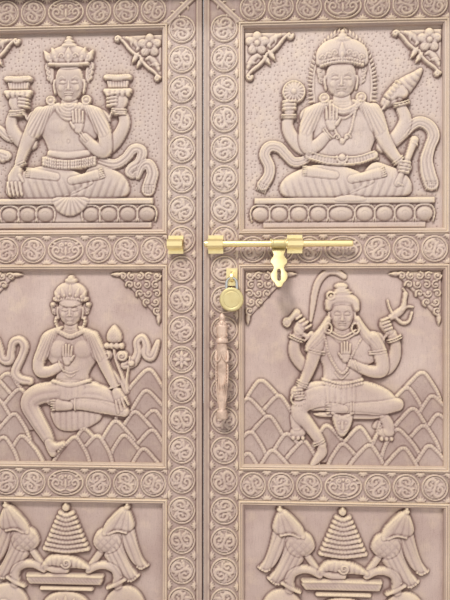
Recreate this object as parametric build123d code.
from build123d import *
import os
from math import atan2, cos, hypot, pi, radians, sin

# Carved double door of a temple: two framed leaves with carved panels, hung on pivots in a rebated
# wooden frame, with a brass bar bolt, its swinging hasp, a staple, a padlock and a cast pull.
# Millimetres. X runs across the door, Y into the doorway and Z up. The carved faces look along -Y.
# The origin lies under the threshold, midway along it, below the front faces of the closed leaves.

# Framing of a leaf
leaf_thickness = 45
edge_strip = 15
band_width = 74
field_width = 496
moulding_width = 13
upper_field_height = 508
middle_field_height = 490
lower_field_height = 496
rail_height = 78
tenon_length = 55
tenon_shoulder = 10
joint_clearance = 0.2

# Panels, grooves and mouldings
board_front = 15
board_thickness = 18
tongue_setback = 4
tongue_thickness = 12
tongue_depth = 10
groove_extra_depth = 2
panel_play = 0.4
moulding_proud = 3
moulding_fillet_width = 5
moulding_step_depth = 4
moulding_bead_width = 5

field_margin = 1

# Carved bands
carving_depth = 5
roundel_diameter = 70
roundel_count = 23
roundel_sides = 8
corner_leaf_length = 50
corner_leaf_width = 30
rail_roundel_diameter = 67
rail_roundels_each_side = 3
rail_oval_width = 97

# Door frame
meeting_gap = 4
side_clearance = 3
foot_clearance = 4
lip_cover = 12
lip_thickness = 30
lip_gap = 1.5
frame_width = 75
frame_back = 55
frame_tenon_length = 30
frame_tenon_width = 30
frame_tenon_thickness = 24
fixing_hole_radius = 5.5
fixing_hole_spacing = 800
fixing_hole_depth_position = 40

# Pivots
pivot_radius = 9
pivot_tang_side = 14
pivot_in_leaf = 40
pivot_in_socket = 24
pivot_clearance = 0.06
pivot_end_clearance = 0.3
socket_side = 34
socket_height = 30

# Bar bolt, hasp, staple and padlock
rod_radius = 8
rod_length = 368
rod_standoff = 22
rod_above_rail_middle = 12
bolt_throw = 117
rod_end_setback = 3
rod_end_chamfer = 2
guide_width = 38
guide_height = 46
guide_plate_thickness = 3
guide_wall = 4
guide_clearance = 0.15
inner_guide_setback = 12
outer_guide_setback = 210
keeper_setback = 47
screw_head_radius = 3.2
screw_head_height = 1.6
screw_shank_radius = 1.8
screw_length = 18
screw_edge_distance = 5
pilot_play = 0.1
hasp_collar_length = 36
hasp_collar_radius = 12
collar_sides = 12
hasp_clearance = 0.1
hasp_reach = 115
hasp_width = 40
hasp_neck_width = 30
hasp_thickness = 3
hasp_slot_width = 9
hasp_slot_height = 32
hasp_rest_tilt = 25
cross_pin_length = 24
cross_pin_width = 3
cross_pin_gap = 0.2
guide_pin_gap = 0.5
staple_drop = 82
staple_eye_radius = 7
staple_wall = 6
staple_thickness = 6
eye_sides = 12
staple_plate_width = 28
staple_plate_height = 44
staple_plate_thickness = 2.5
staple_eye_standoff = 24
padlock_radius = 30
padlock_thickness = 18
padlock_sides = 24
shackle_radius = 3.5
shackle_bend_radius = 13
shackle_leg = 16
shackle_sides = 8
shackle_bend_steps = 8
shackle_play = 0.1
shackle_toe_depth = 5
shackle_heel_depth = 22
padlock_overlap = 5
hang_clearance = 0.9

# Pull handle
pull_setback = 48
pull_below_rod = 172
pull_length = 262
pull_width = 36
pull_standoff = 30
pull_depth_share = 0.65
pull_foot_radius = 8
tang_side = 7
tang_length = 30
pull_foot_shares = (0.12, 0.86)
tang_play = 0.1

# Places worked out from the sizes above
opening_width = field_width + 2 * moulding_width
field_heights = (lower_field_height, middle_field_height, upper_field_height)
meeting_stile_width = edge_strip + band_width
outer_member_width = lip_cover + edge_strip + band_width
leaf_width = meeting_stile_width + opening_width + outer_member_width
opening_heights = [height + 2 * moulding_width for height in field_heights]
leaf_height = 2 * outer_member_width + 2 * rail_height + sum(opening_heights)
meeting_edge = meeting_gap / 2
meeting_stile_inner = meeting_edge + meeting_stile_width
hinge_stile_inner = meeting_stile_inner + opening_width
heel_edge = meeting_edge + leaf_width
heel_radius = leaf_thickness / 2
pivot_x = heel_edge - heel_radius
jamb_face = heel_edge + side_clearance
lip_edge = heel_edge - lip_cover
frame_outer = lip_edge + frame_width
threshold_body = frame_width - lip_cover - foot_clearance
leaf_bottom = threshold_body + foot_clearance
leaf_top = leaf_bottom + leaf_height
head_body_bottom = leaf_top + side_clearance
head_top = head_body_bottom + frame_width - lip_cover - side_clearance
opening_middle_x = meeting_stile_inner + opening_width / 2
tongue_front = board_front + tongue_setback
tongue_back = tongue_front + tongue_thickness
groove_depth = tongue_depth + groove_extra_depth
rod_axis_y = -rod_standoff


def stack_of_members():
    """Bottom and top heights of the four rails, and of the three openings between them, from the foot."""
    rails, openings = [], []
    height = leaf_bottom
    rail_sizes = [outer_member_width, rail_height, rail_height, outer_member_width]
    for index, size in enumerate(rail_sizes):
        rails.append((height, height + size))
        height += size
        if index < len(opening_heights):
            openings.append((height, height + opening_heights[index]))
            height += opening_heights[index]
    return rails, openings


rails_z, openings_z = stack_of_members()
rod_z = sum(rails_z[2]) / 2 + rod_above_rail_middle
band_bottom = rails_z[0][1]
band_top = leaf_top - lip_cover - edge_strip


def block(x0, x1, y0, y1, z0, z1):
    """A box between two corners."""
    size = (x1 - x0, y1 - y0, z1 - z0)
    return Pos((x0 + x1) / 2, (y0 + y1) / 2, (z0 + z1) / 2) * Box(*size)


def facing(y):
    """The plane at depth y that looks out of the carved face, with X across and Z up."""
    return Plane.XZ.offset(-y)


def ring_of_points(centre, half_width, half_height, sides, turn=0.0):
    """Corners of a regular outline fitted round an ellipse."""
    angles = [2 * pi * (i + 0.5) / sides + turn for i in range(sides)]
    return [(centre[0] + half_width * cos(a), centre[1] + half_height * sin(a)) for a in angles]


def outline(points):
    """A closed wire through points, taken anticlockwise so that its face looks up."""
    area = sum(a[0] * b[1] - b[0] * a[1] for a, b in zip(points, points[1:] + points[:1]))
    ordered = points if area > 0 else points[::-1]
    return Wire.make_polygon([Vector(x, z, 0) for x, z in ordered], close=True)


def skin(rings):
    """A closed solid with flat faces between rings of points, each ring turned the same way."""
    faces = [Face(Wire.make_polygon(ring, close=True)) for ring in (rings[0], rings[-1])]
    for low, high in zip(rings, rings[1:]):
        for i in range(len(low)):
            j = (i + 1) % len(low)
            faces.append(Face(Wire.make_polygon([low[i], low[j], high[j], high[i]], close=True)))
    return Solid(Shell(faces))


def front_cut(outer, islands, depth):
    """The waste round a set of islands, cut into the front face to a depth."""
    face = Face(outline(outer), [outline(points) for points in islands])
    return extrude(facing(0) * face, amount=-depth)


def rectangle_points(x0, x1, z0, z1):
    """Corners of an upright rectangle."""
    return [(x0, z0), (x1, z0), (x1, z1), (x0, z1)]


def corner_leaf(x, z, lean):
    """Outline of the leaf that lies across a corner of a leaf's border."""
    half_long = corner_leaf_length / 2
    half_wide = corner_leaf_width / 2
    shape = [(-half_long, 0), (-half_long / 2, -half_wide), (half_long / 2, -half_wide), (half_long, 0),
             (half_long / 2, half_wide), (-half_long / 2, half_wide)]
    turn = radians(lean)
    return [(x + a * cos(turn) - b * sin(turn), z + a * sin(turn) + b * cos(turn)) for a, b in shape]


def stile_islands(middle_x, lean):
    """The chain of roundels up a stile, with a leaf across its upper corner."""
    pitch = (band_top - band_bottom - corner_leaf_length) / roundel_count
    half = min(roundel_diameter, pitch - 1.5) / 2
    chain = [ring_of_points((middle_x, band_bottom + (i + 0.5) * pitch), roundel_diameter / 2, half,
                            roundel_sides)
             for i in range(roundel_count)]
    return chain + [corner_leaf(middle_x, band_top - corner_leaf_length / 2, lean)]


def rail_islands(middle_z):
    """Roundels on both sides of an oval along a rail."""
    pitch = (opening_width - rail_oval_width - 2) / (2 * rail_roundels_each_side)
    half = min(rail_roundel_diameter, pitch - 1.5) / 2
    islands = [ring_of_points((opening_middle_x, middle_z), rail_oval_width / 2, rail_roundel_diameter / 2,
                              roundel_sides + 2)]
    for i in range(rail_roundels_each_side):
        step = rail_oval_width / 2 + 1 + (i + 0.5) * pitch
        for side in (-1, 1):
            centre = (opening_middle_x + side * step, middle_z)
            islands.append(ring_of_points(centre, half, rail_roundel_diameter / 2, roundel_sides))
    return islands


def meeting_stile():
    """Stile beside the gap between the leaves: plain strip, carved band, groove and mortises."""
    stile = block(meeting_edge, meeting_stile_inner, 0, leaf_thickness, leaf_bottom, leaf_top)
    band = (meeting_edge + edge_strip, meeting_stile_inner)
    stile -= stile_waste(band, 45)
    return stile - stile_joints(meeting_stile_inner, -1)


def hinge_stile():
    """Stile that carries the pivots: its outer edge is a half round about the pivots' axis."""
    stile = block(hinge_stile_inner, pivot_x, 0, leaf_thickness, leaf_bottom, leaf_top)
    heel = Pos(pivot_x, leaf_thickness / 2, (leaf_bottom + leaf_top) / 2) * Cylinder(heel_radius,
                                                                                     leaf_height)
    stile += heel
    for z0, z1 in ((leaf_bottom, leaf_bottom + pivot_in_leaf + 1),
                   (leaf_top - pivot_in_leaf - 1, leaf_top)):
        stile -= pivot_tang(z0, z1, joint_clearance)
    return stile - stile_joints(hinge_stile_inner, 1)


def stile_waste(band, lean):
    """What is carved away round the roundels of a stile's band."""
    middle = (band[0] + band[1]) / 2
    outer = rectangle_points(band[0], band[1], band_bottom, band_top)
    return front_cut(outer, stile_islands(middle, lean), carving_depth)


def stile_joints(edge_x, side):
    """Groove for the panels and a mortise for each rail, cut into a stile from its inner edge."""
    def reach(depth):
        return sorted((edge_x, edge_x + side * depth))

    x0, x1 = reach(groove_depth)
    cuts = block(x0, x1, tongue_front - joint_clearance, tongue_back + joint_clearance, leaf_bottom,
                 leaf_top)
    x0, x1 = reach(tenon_length + 1)
    for low, high in rails_z:
        cuts += block(x0, x1, tongue_front - joint_clearance, tongue_back + joint_clearance,
                      low + tenon_shoulder - joint_clearance, high - tenon_shoulder + joint_clearance)
    return cuts


def rail(index):
    """One of the four rails, counted from the foot and tenoned at both ends. The lowest is plain."""
    low, high = rails_z[index]
    body = block(meeting_stile_inner, hinge_stile_inner, 0, leaf_thickness, low, high)
    body += block(meeting_stile_inner - tenon_length, hinge_stile_inner + tenon_length,
                  tongue_front, tongue_back, low + tenon_shoulder, high - tenon_shoulder)
    groove_y = (tongue_front - joint_clearance, tongue_back + joint_clearance)
    if index > 0:
        body -= block(meeting_stile_inner, hinge_stile_inner, *groove_y, low, low + groove_depth)
    if index < len(rails_z) - 1:
        body -= block(meeting_stile_inner, hinge_stile_inner, *groove_y, high - groove_depth, high)
    if index == 0:
        return body
    band_low = low if index == len(rails_z) - 1 else (low + high - band_width) / 2
    middle = band_low + band_width / 2
    waste = rectangle_points(meeting_stile_inner, hinge_stile_inner, band_low, band_low + band_width)
    return body - front_cut(waste, rail_islands(middle), carving_depth)


def moulding(index):
    """Four mitred strips round an opening, each with a flat fillet, a step and a sloping bead."""
    low, high = openings_z[index]
    width, height = opening_width, high - low
    bead_end = moulding_fillet_width + 1.5 + moulding_bead_width
    profile = [(0, board_front), (0, -moulding_proud), (moulding_fillet_width, -moulding_proud),
               (moulding_fillet_width + 1.5, moulding_step_depth - moulding_proud),
               (bead_end, moulding_step_depth - moulding_proud),
               (moulding_width, board_front / 2), (moulding_width, board_front)]
    strips = []
    for turn, across, up in ((0, width, height), (90, height, width), (180, width, height),
                             (270, height, width)):
        half = across / 2
        section = Face(Wire.make_polygon([Vector(-half, y, -up / 2 + u) for u, y in profile], close=True))
        bar = extrude(section, amount=across, dir=(1, 0, 0))
        trapezoid = [(-half, -up / 2), (half, -up / 2), (half - moulding_width, -up / 2 + moulding_width),
                     (-half + moulding_width, -up / 2 + moulding_width)]
        depth = board_front + 2 * moulding_proud
        mitre = extrude(facing(board_front) * Face(outline(trapezoid)), amount=depth)
        strip = Rot(0, turn, 0) * (bar & mitre)
        strips.append(Pos(opening_middle_x, 0, (low + high) / 2) * strip)
    return Compound(children=[s for strip in strips for s in strip.solids()])


class Carving:
    """Relief on one panel, gathered as solids that stand on the board's ground.

    Places are (across, up) from the middle of the panel's field. The first argument of each
    method that raises a form is its height above the ground.
    """

    def __init__(self, field_height):
        self.scale_x = field_width / 496
        self.scale_z = field_height / 500
        self.field_height = field_height
        self.forms = []

    def place(self, point):
        """A carved point, stretched with the panel's field and kept inside it."""
        half_x = field_width / 2 - field_margin
        half_z = self.field_height / 2 - field_margin
        across = max(-half_x, min(half_x, point[0] * self.scale_x))
        return (across, max(-half_z, min(half_z, point[1] * self.scale_z)))

    def raise_outline(self, height, points, taper=0):
        """Raises a closed outline."""
        face = Face(outline([self.place(p) for p in points]))
        self.forms.append(extrude(facing(board_front) * face, amount=height, taper=taper))

    def oval(self, height, centre, half_width, half_height, sides=8, taper=12):
        """Raises a round or oval form."""
        self.raise_outline(height, ring_of_points(centre, half_width, half_height, sides), taper)

    def limb(self, height, start, end, start_width, end_width):
        """Raises a limb that tapers from one joint to the next, with blunt pointed ends."""
        turn = atan2(end[1] - start[1], end[0] - start[0])
        points = []
        for centre, width, facing_back in ((start, start_width, pi), (end, end_width, 0)):
            for step in (-1, 0, 1):
                a = turn + facing_back + step * pi / 2
                points.append((centre[0] + width / 2 * cos(a), centre[1] + width / 2 * sin(a)))
        self.raise_outline(height, points)

    def limbs(self, height, joints, widths):
        """Raises a chain of limbs through a list of joints."""
        for i in range(len(joints) - 1):
            self.limb(height - 0.4 * i, joints[i], joints[i + 1], widths[i], widths[i + 1])

    def ribbon(self, height, points, width):
        """Raises a band of even width along a line of points."""
        left, right = [], []
        last = len(points) - 1
        for i, (x, z) in enumerate(points):
            before, after = points[max(i - 1, 0)], points[min(i + 1, last)]
            dx, dz = after[0] - before[0], after[1] - before[1]
            size = hypot(dx, dz)
            nx, nz = -dz / size * width / 2, dx / size * width / 2
            left.append((x + nx, z + nz))
            right.append((x - nx, z - nz))
        self.raise_outline(height, left + right[::-1])

    def mirrored_ribbon(self, height, points, width):
        """Raises the same band on both sides of the middle."""
        self.ribbon(height, points, width)
        self.ribbon(height, [(-x, z) for x, z in points], width)


def corner_brackets(carving, field_height, leg, rise):
    """Carved three-cornered ornaments in the two upper corners of a field."""
    top = 250 - 2
    side = 246
    for hand in (-1, 1):
        carving.raise_outline(rise, [(hand * side, top), (hand * (side - leg), top),
                                     (hand * (side - leg * 0.55), top - leg * 0.32),
                                     (hand * (side - leg * 0.32), top - leg * 0.55),
                                     (hand * side, top - leg)])


def lotus_seat(carving, half_width):
    """The seat's top slab, its row of petals and its foot."""
    carving.raise_outline(9, rectangle_points(-half_width, half_width, -192, -180))
    petals = 9
    pitch = 2 * half_width / petals
    for i in range(petals):
        middle = -half_width + (i + 0.5) * pitch
        carving.oval(11, (middle, -213), pitch / 2 - 1, 19, 6)
    carving.raise_outline(6, rectangle_points(-half_width + 20, half_width - 20, -246, -229))


def crossed_legs(carving):
    """The folded legs of a seated figure, with both feet showing."""
    carving.limb(11, (-60, -105), (-128, -138), 66, 60)
    carving.limb(11, (60, -105), (128, -138), 66, 60)
    carving.limb(13, (-118, -152), (40, -150), 48, 34)
    carving.limb(12, (120, -152), (-30, -160), 48, 30)
    carving.limb(15, (10, -128), (74, -112), 26, 22)
    carving.limb(15, (-22, -124), (-78, -118), 26, 20)


def trunk(carving, neck, shoulder, waist, hips):
    """Torso outline from the neck to the hips, given half widths and heights."""
    half = [(14, neck), (shoulder[0], shoulder[1]), (shoulder[0] - 12, shoulder[1] - 50),
            (waist[0], waist[1]),
            (hips[0], hips[1])]
    carving.raise_outline(12, [(-x, z) for x, z in half] + half[::-1])


def head(carving, centre, half_width, half_height, crown):
    """Face, ears' rings and a crown outline above the brow."""
    carving.oval(16, centre, half_width, half_height, 10)
    for hand in (-1, 1):
        ring = (centre[0] + hand * (half_width + 10), centre[1] - half_height * 0.75)
        carving.oval(11, ring, 13, 13, 6)
    brow = centre[1] + half_height * 0.55
    carving.raise_outline(14, [(centre[0] + x, brow + z) for x, z in crown])


def rocks(carving, peaks):
    """Pointed rocks, each peak with its foot half width, drawn down to the bottom of the field."""
    for i, (x, z, half) in enumerate(peaks):
        foot = max(z - 62, -247)
        carving.raise_outline(5 + 0.7 * (i % 4), [(x - half, foot), (x - half * 0.55, z - 16), (x, z),
                                                  (x + half * 0.55, z - 16), (x + half, foot)])


def four_armed_figure_with_wheel(carving):
    """Seated figure with a flaming halo, a wheel and a shell in the raised hands."""
    lotus_seat(carving, 223)
    carving.oval(4, (-2, 145), 82, 97, 14, 0)
    crossed_legs(carving)
    trunk(carving, 66, (98, 38), (62, -62), (84, -96))
    dome = [(-60, 0), (-56, 34), (-34, 62), (-12, 72), (0, 92), (12, 72), (34, 62), (56, 34), (60, 0)]
    head(carving, (-3, 118), 38, 48, dome)
    carving.limbs(9, [(-104, -28), (-142, 12), (-130, 58)], [30, 28, 22])
    carving.oval(8, (-124, 90), 28, 28, 10)
    carving.limbs(14, [(-88, 32), (-92, -56), (-36, -12), (-31, 40)], [44, 40, 24, 22])
    carving.limbs(9, [(114, -26), (150, 20), (146, 62)], [32, 30, 24])
    carving.limb(9, (122, 84), (182, 128), 44, 26)
    carving.limbs(14, [(82, 30), (94, -44), (134, -90), (150, -104)], [44, 38, 28, 26])
    carving.limb(7, (176, -36), (146, -124), 15, 15)
    carving.ribbon(4, [(-84, -72), (-116, -92), (-150, -64), (-182, -54), (-199, -88), (-188, -120),
                       (-211, -156)], 22)
    carving.ribbon(4, [(118, -46), (158, -6), (196, 8), (224, -18), (216, -68), (210, -108), (222, -160)],
                   22)


def four_armed_figure_with_lotuses(carving):
    """Seated figure in a tiered crown, a lotus in each raised hand and one hand on the knee."""
    lotus_seat(carving, 223)
    crossed_legs(carving)
    trunk(carving, 68, (98, 46), (58, -66), (82, -98))
    tiers = [(-50, 0), (-72, 30), (-44, 38), (-30, 66), (-22, 84), (0, 98), (22, 84), (30, 66), (44, 38),
             (72, 30),
             (50, 0)]
    head(carving, (1, 112), 36, 47, tiers)
    for hand in (-1, 1):
        carving.limbs(9, [(hand * 112, -22), (hand * 152, 24), (hand * 136, 66)], [32, 30, 24])
        carving.raise_outline(9, [(hand * 136 + x, z) for x, z in
                                  [(-36, 86), (-24, 78), (24, 78), (36, 86), (30, 106), (37, 130),
                                   (-37, 130),
                                   (-30, 106)]])
    carving.limbs(14, [(-84, 36), (-96, -30), (-128, -86), (-136, -130)], [44, 40, 28, 30])
    carving.limbs(14, [(84, 36), (102, -46), (42, -26), (28, 34)], [44, 42, 26, 24])
    carving.mirrored_ribbon(4, [(84, -82), (134, -84), (176, -50), (198, -66), (172, -110), (210, -96),
                                (214, -160)],
                            17)


def goddess_on_rocks(carving):
    """Figure with one leg down among rocks and a lotus plant beside the shoulder."""
    rocks(carving, [(-236, 0, 30), (-206, -40, 38), (-160, -88, 34), (-222, -110, 34), (-180, -150, 36),
                    (-225, -186, 34), (-130, -170, 36), (205, -2, 34), (196, -54, 38), (166, -106, 36),
                    (222, -104, 24), (124, -130, 34), (14, -168, 32), (72, -168, 34), (140, -170, 36),
                    (208, -158, 34)])
    trunk(carving, 92, (80, 74), (44, -40), (62, -66))
    crown = [(-40, 0), (-47, 22), (-30, 42), (-12, 46), (-14, 58), (0, 66), (14, 58), (12, 46), (30, 42),
             (47, 22),
             (40, 0)]
    head(carving, (2, 134), 29, 36, crown)
    carving.limbs(11, [(-40, -62), (-104, -92), (-40, -196), (-26, -226)], [60, 56, 34, 24])
    carving.limbs(13, [(48, -62), (146, -104), (-16, -100)], [60, 46, 24])
    carving.limbs(14, [(-66, 66), (-72, -8), (-16, 2), (0, 40)], [42, 38, 24, 22])
    carving.limbs(14, [(78, 58), (86, -4), (122, -54), (138, -98)], [42, 38, 26, 30])
    carving.limb(6, (150, -62), (118, 40), 16, 20)
    carving.oval(9, (118, 78), 20, 26, 8)
    carving.ribbon(4, [(-84, -14), (-116, -16), (-110, 40), (-136, 62), (-154, 22), (-172, 40), (-178, 62)],
                   14)
    carving.ribbon(4, [(150, 20), (168, 30), (176, 66), (196, 40), (206, 24), (220, 60)], 13)


def ascetic_on_rocks(carving):
    """Four-armed figure on a pelt among rocks, with a stream arching from the hair."""
    rocks(carving, [(-204, -30, 36), (-158, -70, 34), (-234, -76, 26), (-182, -122, 38), (-234, -164, 24),
                    (-160, -178, 36), (-98, -180, 34), (196, -8, 32), (158, -46, 34), (224, -66, 30),
                    (176, -98, 36),
                    (200, -142, 34), (206, -190, 32), (-2, -186, 40), (66, -186, 36), (132, -188, 34)])
    carving.raise_outline(6, [(-52, -122), (52, -122), (20, -160), (0, -172), (-20, -160)])
    trunk(carving, 92, (80, 72), (44, -36), (58, -62))
    hair = [(-40, -6), (-42, 26), (-24, 44), (-18, 62), (0, 72), (18, 62), (24, 44), (42, 26), (40, -6)]
    head(carving, (-2, 128), 28, 34, hair)
    carving.ribbon(6, [(-6, 224), (-36, 230), (-62, 208), (-72, 164), (-70, 112)], 17)
    carving.limbs(11, [(-38, -60), (-114, -94), (-52, -206), (-74, -234)], [58, 54, 34, 22])
    carving.limbs(13, [(48, -60), (132, -86), (-26, -100)], [58, 44, 26])
    carving.limbs(9, [(-92, 12), (-118, 56), (-106, 104)], [30, 28, 24])
    carving.limb(8, (-124, 124), (-84, 82), 26, 26)
    carving.limbs(9, [(104, 8), (138, 50), (106, 104)], [30, 28, 24])
    carving.limb(8, (112, 112), (146, 146), 20, 24)
    carving.limbs(14, [(-64, 66), (-72, -2), (-98, -42), (-116, -80)], [42, 36, 26, 30])
    carving.limbs(14, [(66, 60), (86, -2), (26, 12), (4, 42)], [42, 38, 24, 22])


def emblems(carving):
    """Tiered canopy over a shell and a slab, with two banners, two vessels and a lotus below."""
    tiers = 8
    for i in range(tiers):
        half = 16 + 5.4 * i
        top = 228 - 13.4 * i
        carving.raise_outline(11 - 0.3 * i, rectangle_points(-half, half, top - 9.5, top), 8)
    carving.oval(7, (0, 236), 9, 10, 6)
    carving.oval(10, (-4, 88), 54, 22, 10)
    carving.raise_outline(11, rectangle_points(-100, 92, 38, 64))
    carving.raise_outline(6, rectangle_points(-70, 66, 20, 27))
    for hand in (-1, 1):
        for form, rise in (([(158, 240), (108, 196), (102, 172), (142, 150), (212, 100), (196, 150),
                             (176, 208)], 9),
                           ([(104, 178), (72, 150), (76, 124), (120, 88), (184, 66), (160, 120),
                             (138, 152)], 11)):
            carving.raise_outline(rise, [(hand * x, z) for x, z in form])
        carving.limb(6, (hand * 92, 132), (hand * 54, 96), 16, 14)
        carving.ribbon(7, [(hand * x, z) for x, z in [(62, 72), (84, 88), (108, 84), (132, 56)]], 16)
        carving.limb(9, (hand * 126, 58), (hand * 156, 40), 40, 46)
        carving.oval(10, (hand * 162, -32), 58, 70, 10)
    for hand in (-1, 1):
        carving.limb(8, (hand * 12, -70), (hand * 46, 14), 22, 30)
    carving.limb(9, (0, -70), (0, 16), 26, 34)
    carving.oval(7, (0, -92), 44, 40, 10)


def mirrored(carve):
    """The same carving with left and right changed over, for a leaf that is built mirrored."""
    def carve_mirrored(carving):
        original = carving.place
        carving.place = lambda point: original((-point[0], point[1]))
        carve(carving)
        carving.place = original
    return carve_mirrored


def panel(index, carve, brackets=True):
    """Carved board with a tongue all round, standing in the stiles' and rails' grooves."""
    low, high = openings_z[index]
    field_height = field_heights[index]
    x0, x1 = meeting_stile_inner + panel_play, hinge_stile_inner - panel_play
    z0, z1 = low + panel_play, high - panel_play
    board = block(x0, x1, board_front, board_front + board_thickness, z0, z1)
    board += block(x0 - tongue_depth, x1 + tongue_depth, tongue_front, tongue_back,
                   z0 - tongue_depth, z1 + tongue_depth)
    carving = Carving(field_height)
    if brackets:
        corner_brackets(carving, field_height, 126, 7)
    carve(carving)
    middle = Pos(opening_middle_x, 0, (low + high) / 2)
    return board + [middle * form for form in carving.forms]


def pivot_tang(z0, z1, play=0.0):
    """Square shank of a pivot, or with play the hole for it."""
    half = pivot_tang_side / 2 + play
    y = leaf_thickness / 2
    return block(pivot_x - half, pivot_x + half, y - half, y + half, z0, z1)


def pivots():
    """Steel pins that stand out of the ends of a hinge stile, each with a square shank inside it."""
    pin = Cylinder(pivot_radius, pivot_in_socket)
    y = leaf_thickness / 2
    foot = Pos(pivot_x, y, leaf_bottom - pivot_in_socket / 2) * pin
    foot += pivot_tang(leaf_bottom, leaf_bottom + pivot_in_leaf)
    top = Pos(pivot_x, y, leaf_top + pivot_in_socket / 2) * pin
    top += pivot_tang(leaf_top - pivot_in_leaf, leaf_top)
    return Compound(children=[foot, top])


def sockets():
    """Square iron shoes let into the threshold and the head, each bored for a pivot."""
    bore_depth = pivot_in_socket - foot_clearance + pivot_end_clearance
    y = leaf_thickness / 2
    shoes = []
    for hand in (-1, 1):
        half = socket_side / 2
        x = hand * pivot_x
        shoe = block(x - half, x + half, y - half, y + half, threshold_body - socket_height, threshold_body)
        shoe -= Pos(x, y, threshold_body - bore_depth / 2) * Cylinder(pivot_radius + pivot_clearance,
                                                                      bore_depth)
        cap = block(x - half, x + half, y - half, y + half, head_body_bottom,
                    head_body_bottom + socket_height)
        depth = pivot_in_socket - side_clearance + 2
        cap -= Pos(x, y, head_body_bottom + depth / 2) * Cylinder(pivot_radius + pivot_clearance, depth)
        shoes += [shoe, cap]
    return Compound(children=[s for shoe in shoes for s in shoe.solids()])


def socket_pockets(z0, z1):
    """Room for the shoes in the threshold or the head."""
    half = socket_side / 2 + joint_clearance
    y = leaf_thickness / 2
    pockets = block(pivot_x - half, pivot_x + half, y - half, y + half, z0, z1)
    return pockets + block(-pivot_x - half, -pivot_x + half, y - half, y + half, z0, z1)


def frame_tenon(hand, z0, z1, play=0.0):
    """Tenon of a jamb, or with play the mortise for it."""
    middle = hand * (jamb_face + frame_outer) / 2
    half = frame_tenon_width / 2 + play
    y = frame_back / 2
    deep = frame_tenon_thickness / 2 + play
    return block(middle - half, middle + half, y - deep, y + deep, z0, z1)


lip_front = -lip_gap - lip_thickness
threshold_top = leaf_bottom + lip_cover
head_bottom = leaf_top - lip_cover


def threshold():
    """Sill across the foot, rebated behind a raised lip for the leaves."""
    sill = block(-frame_outer, frame_outer, lip_front, frame_back, 0, threshold_top)
    sill -= block(-jamb_face, jamb_face, -lip_gap, frame_back, threshold_body, threshold_top)
    sill -= block(-lip_edge, lip_edge, lip_front, -lip_gap, leaf_bottom + lip_cover / 2, threshold_top)
    sill -= socket_pockets(threshold_body - socket_height - joint_clearance, threshold_body)
    for hand in (-1, 1):
        sill -= frame_tenon(hand, threshold_top - frame_tenon_length - 1, threshold_top, joint_clearance)
    return sill


def head_piece():
    """Lintel of the frame, rebated behind a lip that hangs over the leaves' top edges."""
    lintel = block(-frame_outer, frame_outer, lip_front, frame_back, head_bottom, head_top)
    lintel -= block(-jamb_face, jamb_face, -lip_gap, frame_back, head_bottom, head_body_bottom)
    lintel -= socket_pockets(head_body_bottom, head_body_bottom + socket_height + joint_clearance)
    for hand in (-1, 1):
        lintel -= frame_tenon(hand, head_bottom, head_bottom + frame_tenon_length + 1, joint_clearance)
    return lintel


def jamb(hand):
    """Upright of the frame, rebated for the leaf's heel, tenoned at both ends and drilled for fixings."""
    def span(a, b):
        return sorted((hand * a, hand * b))

    x0, x1 = span(lip_edge, frame_outer)
    post = block(x0, x1, lip_front, frame_back, threshold_top, head_bottom)
    x0, x1 = span(lip_edge, jamb_face)
    post -= block(x0, x1, -lip_gap, frame_back, threshold_top, head_bottom)
    post += frame_tenon(hand, threshold_top - frame_tenon_length, threshold_top)
    post += frame_tenon(hand, head_bottom, head_bottom + frame_tenon_length)
    middle_z = (threshold_top + head_bottom) / 2
    drill = Rot(0, 90, 0) * Cylinder(fixing_hole_radius, 2 * frame_width)
    for step in (-1, 0, 1):
        post -= Pos(hand * frame_outer, fixing_hole_depth_position,
                    middle_z + step * fixing_hole_spacing) * drill
    return post


inner_guide_x = meeting_edge + inner_guide_setback
outer_guide_x = meeting_edge + outer_guide_setback
keeper_x = -meeting_edge - keeper_setback - guide_width


def along_x(radius, length, x0):
    """A cylinder on the rod's axis, from x0 along +X."""
    return Pos(x0 + length / 2, rod_axis_y, rod_z) * (Rot(0, 90, 0) * Cylinder(radius, length))


collar_start = inner_guide_x + guide_width + guide_pin_gap + cross_pin_width + cross_pin_gap + bolt_throw
rod_start = meeting_edge + rod_end_setback


def prism_along_x(radius, length, x0, sides):
    """A many-sided bar on the rod's axis, with one flat facing the door."""
    section = Plane(origin=(x0, rod_axis_y, rod_z), z_dir=(1, 0, 0), x_dir=(0, 1, 0)) * RegularPolygon(
        radius, sides, major_radius=False, rotation=180 / sides)
    return extrude(section, amount=length)


def bolt_rod():
    """Round bar with chamfered ends, and a cross pin on each side of the hasp's collar to keep it in place."""
    bar = along_x(rod_radius, rod_length, rod_start)
    bar = chamfer(bar.edges().filter_by(GeomType.CIRCLE), rod_end_chamfer)
    half_width, half_length = cross_pin_width / 2, cross_pin_length / 2
    for x in (collar_start - cross_pin_gap - half_width,
              collar_start + hasp_collar_length + cross_pin_gap + half_width):
        bar += block(x - half_width, x + half_width, rod_axis_y - half_width, rod_axis_y + half_width,
                     rod_z - half_length, rod_z + half_length)
    return bar


def guide(x0):
    """Guide for the rod: a screwed plate with a block of three flats over it, bored right through."""
    half = guide_height / 2
    shell = rod_radius + guide_clearance + guide_wall
    front = -rod_axis_y + shell
    profile = [(-guide_plate_thickness, -shell), (-front + shell * 0.55, -shell), (-front, -shell * 0.45),
               (-front, shell * 0.45), (-front + shell * 0.55, shell), (-guide_plate_thickness, shell)]
    section = Face(Wire.make_polygon([Vector(x0, y, rod_z + z) for y, z in profile], close=True))
    body = extrude(section, amount=guide_width, dir=(1, 0, 0))
    body += block(x0, x0 + guide_width, -guide_plate_thickness, 0, rod_z - half, rod_z + half)
    return body - along_x(rod_radius + guide_clearance, guide_width, x0) - screw_places(x0, pilot_play)


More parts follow.
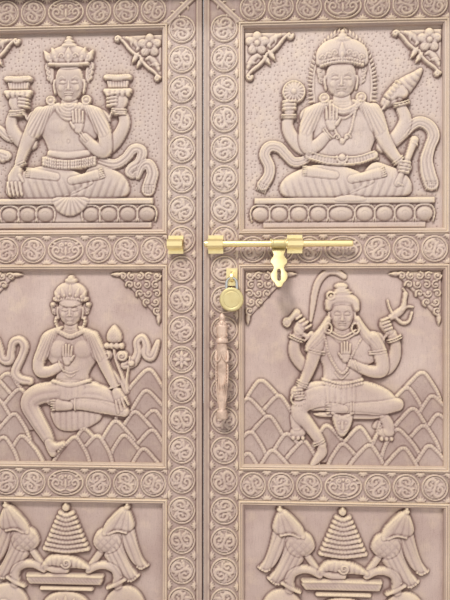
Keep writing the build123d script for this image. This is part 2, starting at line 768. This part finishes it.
def screw_places(x0, play=0.0):
    """Two screws through the plate of a guide, or with play the holes for them."""
    shank = extrude(Plane.XZ * RegularPolygon(screw_shank_radius + play, 6), amount=-screw_length)
    head = extrude(Plane.XZ * RegularPolygon(screw_head_radius, 6), amount=screw_head_height)
    screw = Pos(x0 + guide_width / 2, -guide_plate_thickness, rod_z) * (shank if play else shank + head)
    reach = guide_height / 2 - screw_edge_distance
    return Pos(0, 0, -reach) * screw + Pos(0, 0, reach) * screw


def hasp():
    """Collar round the rod with a shaped plate below it, slotted for the staple, at its rest tilt."""
    collar = prism_along_x(hasp_collar_radius, hasp_collar_length, collar_start, collar_sides)
    middle = collar_start + hasp_collar_length / 2
    back = rod_axis_y + hasp_collar_radius
    front = back - hasp_thickness
    half, neck = hasp_width / 2, hasp_neck_width / 2
    side = [(neck, 0), (neck, -24), (half, -34), (half - 3, -50), (half - 3, -88), (half, -94),
            (neck, -104),
            (neck * 0.5, -hasp_reach)]
    points = side + [(-x, z) for x, z in side[::-1]]
    plate = extrude(facing(back) * Face(outline([(middle + x, rod_z + z) for x, z in points])),
                    amount=hasp_thickness)
    slot = block(middle - hasp_slot_width / 2, middle + hasp_slot_width / 2, front - 1, back + 1,
                 rod_z - staple_drop - hasp_slot_height / 2, rod_z - staple_drop + hasp_slot_height / 2)
    whole = collar + plate - slot - along_x(rod_radius + hasp_clearance, hasp_collar_length, collar_start)
    return whole.rotate(Axis((0, rod_axis_y, rod_z), (-1, 0, 0)), hasp_rest_tilt)


staple_x = collar_start + hasp_collar_length / 2 - bolt_throw
staple_z = rod_z - staple_drop
eye_y = -staple_eye_standoff


def disc(radius, thickness, sides, centre_z, turned=True):
    """A many-sided disc centred in front of the door; turned, it stands edge-on to the viewer."""
    plane = Plane(origin=(staple_x, eye_y, centre_z), z_dir=(1, 0, 0) if turned else (0, -1, 0),
                  x_dir=(0, 0, 1))
    return extrude(plane * RegularPolygon(radius, sides), amount=thickness / 2, both=True)


def staple():
    """Eye that stands out of a small plate, its hole running across the door."""
    half = staple_thickness / 2
    plate = block(staple_x - staple_plate_width / 2, staple_x + staple_plate_width / 2,
                  -staple_plate_thickness, 0,
                  staple_z - staple_plate_height / 2, staple_z + staple_plate_height / 2)
    neck = block(staple_x - half, staple_x + half, eye_y, -staple_plate_thickness, staple_z - staple_wall,
                 staple_z + staple_wall)
    ring = disc(staple_eye_radius + staple_wall, staple_thickness, eye_sides, staple_z)
    return plate + neck + ring - disc(staple_eye_radius, 4 * staple_thickness, eye_sides, staple_z)


shackle_top = staple_z - staple_eye_radius + 2 * shackle_radius + hang_clearance
bend_z = shackle_top - shackle_radius - shackle_bend_radius
padlock_z = bend_z - shackle_leg - padlock_radius + padlock_overlap


def shackle_solid(section_radius, end_play):
    """Many-sided bar bent over the eye in short straight steps, with its legs down in the lock's body."""
    def section(x, z, turn, stretch):
        """Corners of the bar's section at a point, square to the bend and stretched to meet at a mitre."""
        ring = ring_of_points((0, 0), section_radius * stretch, section_radius, shackle_sides)
        return [Vector(staple_x + x + a * cos(turn), eye_y + b, bend_z + z + a * sin(turn)) for a,
                b in ring]

    step = pi / shackle_bend_steps
    heel = shackle_leg + shackle_heel_depth + end_play
    toe = shackle_leg + shackle_toe_depth + end_play
    rings = [section(shackle_bend_radius, -heel, 0, 1)]
    for i in range(shackle_bend_steps + 1):
        turn = i * step
        mitre = min(max(turn, step / 4), pi - step / 4)
        stretch = 1 / cos(step / 4 if mitre != turn else step / 2)
        rings.append(section(shackle_bend_radius * cos(turn), shackle_bend_radius * sin(turn), mitre,
                             stretch))
    rings.append(section(-shackle_bend_radius, -toe, pi, 1))
    return skin(rings)


def padlock_body():
    """Round flat body of the padlock, bored for its shackle."""
    case = disc(padlock_radius, padlock_thickness, padlock_sides, padlock_z, turned=False)
    return case - shackle_solid(shackle_radius + shackle_play, shackle_play)


def padlock_shackle():
    """Shackle hung through the staple's eye, with a long heel leg and a short toe leg."""
    return shackle_solid(shackle_radius, 0)


pull_x = meeting_edge + pull_setback
pull_top = rod_z - pull_below_rod
pull_bottom = pull_top - pull_length


def pull_handle():
    """Cast pull in the form of a standing figure, carried on two feet."""
    sections = [(0.00, 0.82), (0.05, 0.82), (0.055, 0.5), (0.30, 0.72), (0.42, 0.95), (0.52, 0.6),
                (0.66, 1.0),
                (0.70, 0.5), (0.74, 0.55), (0.78, 0.78), (0.86, 0.78), (0.93, 0.5), (1.00, 0.17)]
    rings = []
    for share, width_share in sections:
        half_width = width_share * pull_width / 2
        ring = ring_of_points((pull_x, -pull_standoff), half_width, half_width * pull_depth_share, 8)
        rings.append([Vector(x, y, pull_bottom + share * pull_length) for x, y in ring])
    feet = extrude(Plane.XZ * RegularPolygon(pull_foot_radius, 8, major_radius=False), amount=pull_standoff)
    return skin(rings) + at_pull_feet(feet) + at_pull_feet(tang(0, tang_length))


def tang(play, length):
    """Square spike that holds a foot of the pull in the stile, or with play the hole for it."""
    half = tang_side / 2 + play
    return block(-half, half, 0, length, -half, half)


def at_pull_feet(shape):
    """Copies of a shape at the pull's two feet."""
    return [Pos(pull_x, 0, pull_bottom + share * pull_length) * shape for share in pull_foot_shares]


def save(name, shape):
    """Writes one sub-part as a STEP file."""
    solids = shape.solids()
    part = solids[0] if len(solids) == 1 else Compound(children=list(solids))
    export_step(part, os.path.join("parts", name + ".step"))


def main():
    os.makedirs("parts", exist_ok=True)
    flip = Plane.YZ
    save("threshold", threshold())
    save("head", head_piece())
    save("left_jamb", jamb(-1))
    save("right_jamb", jamb(1))
    save("pivot_sockets", sockets())
    stile, lock_rail = meeting_stile(), rail(2)
    tang_hole = tang(tang_play, tang_length + 1)
    save("right_meeting_stile", stile - screw_places(inner_guide_x, pilot_play) - at_pull_feet(tang_hole))
    save("left_meeting_stile", mirror(stile, about=flip) - screw_places(keeper_x, pilot_play))
    save("right_lock_rail", lock_rail - screw_places(outer_guide_x, pilot_play))
    save("left_lock_rail", mirror(lock_rail, about=flip))
    framing = {"hinge_stile": hinge_stile(), "pivots": pivots(), "bottom_rail": rail(0),
               "lower_rail": rail(1), "top_rail": rail(3),
               "lower_moulding": moulding(0), "middle_moulding": moulding(1), "upper_moulding": moulding(2),
               "lower_panel": panel(0, emblems, False)}
    for name, shape in framing.items():
        save("right_" + name, shape)
        save("left_" + name, mirror(shape, about=flip))
    save("right_upper_panel", panel(2, four_armed_figure_with_wheel))
    save("right_middle_panel", panel(1, ascetic_on_rocks))
    save("left_upper_panel", mirror(panel(2, mirrored(four_armed_figure_with_lotuses)), about=flip))
    save("left_middle_panel", mirror(panel(1, mirrored(goddess_on_rocks)), about=flip))
    save("bolt_rod", bolt_rod())
    save("bolt_guides", Compound(children=[guide(inner_guide_x), guide(outer_guide_x)]))
    save("bolt_keeper", guide(keeper_x))
    save("guide_screws", screw_places(inner_guide_x) + screw_places(outer_guide_x))
    save("keeper_screws", screw_places(keeper_x))
    save("hasp", hasp())
    save("staple", staple())
    save("padlock_body", padlock_body())
    save("padlock_shackle", padlock_shackle())
    save("pull_handle", pull_handle())


if __name__ == "__main__":
    main()
